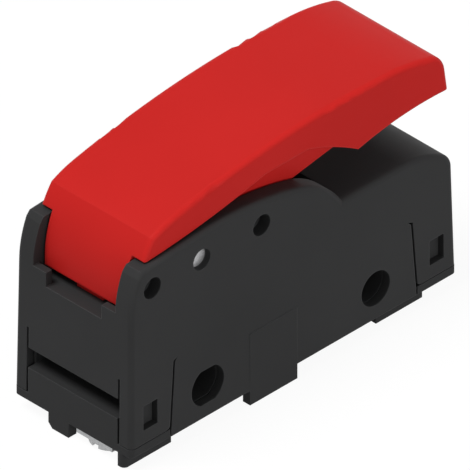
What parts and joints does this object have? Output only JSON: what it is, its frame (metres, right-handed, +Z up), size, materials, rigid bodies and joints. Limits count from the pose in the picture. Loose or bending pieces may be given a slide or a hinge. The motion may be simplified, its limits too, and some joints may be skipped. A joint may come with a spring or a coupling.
{
  "type": "micro switch with press lever",
  "caption": "Snap-style micro switch with a broad hinged press lever, a black two-part case with side mounting holes and screw terminals underneath.",
  "frame": {"origin": "centre of the round side mounting hole, in the middle plane of the case", "axes": "+Z up, towards the lever; +X towards the lever's free end; Y along the mounting holes"},
  "size_m": [0.0493, 0.0176, 0.032],
  "materials": {
    "case_plastic": "fine moulded satin",
    "base_plastic": "fine moulded satin",
    "lever_plastic": "satin",
    "plunger_plastic": "satin",
    "pin_steel": "ground",
    "spring_steel": "drawn wire",
    "bridge_copper": "rolled strip",
    "terminal_brass": "stamped",
    "contact_silver": "polished",
    "clamp_zinc": "zinc plated",
    "screw_zinc": "zinc plated"
  },
  "bodies": {
    "case": {"housing": "case_plastic", "base": "base_plastic", "pivot_pin": "pin_steel", "return_spring": "spring_steel", "bridge_spring_lower": "spring_steel", "terminal_closed_near": "terminal_brass", "terminal_closed_far": "terminal_brass", "terminal_open_near": "terminal_brass", "terminal_open_far": "terminal_brass", "contact_closed_near": "contact_silver", "contact_closed_far": "contact_silver", "contact_open_near": "contact_silver", "contact_open_far": "contact_silver", "clamp_closed_near": "clamp_zinc", "clamp_closed_far": "clamp_zinc", "clamp_open_near": "clamp_zinc", "clamp_open_far": "clamp_zinc", "screw_closed_near": "screw_zinc", "screw_closed_far": "screw_zinc", "screw_open_near": "screw_zinc", "screw_open_far": "screw_zinc"},
    "press_lever": {"lever": "lever_plastic"},
    "plunger": {"plunger": "plunger_plastic", "bridge_spring_upper": "spring_steel"},
    "bridge": {"contact_bridge": "bridge_copper", "bridge_contact_near": "contact_silver", "bridge_contact_far": "contact_silver"}
  },
  "joints": [
    {"name": "lever_press", "type": "hinge", "parent": "case", "child": "press_lever", "pos_m": [-0.0261, 0, 0.01674], "axis": [0, 1, 0], "range_deg": [0, 8], "stiffness_Nm_per_rad": 0.3, "springref_deg": -8.59},
    {"name": "plunger_slide", "type": "slide", "parent": "case", "child": "plunger", "axis": [0, 0, -1], "range_m": [0, 0.00192], "deforming": ["return_spring"]},
    {"name": "bridge_slide", "type": "slide", "parent": "case", "child": "bridge", "axis": [0, 0, -1], "range_m": [0, 0.00098], "deforming": ["bridge_spring_lower", "bridge_spring_upper"]}
  ],
  "couplings": [
    {"joint": "plunger_slide", "follows": "lever_press", "m_per_rad": 0.0137},
    {"joint": "bridge_slide", "follows": "lever_press", "m_per_rad": 0.006983}
  ]
}
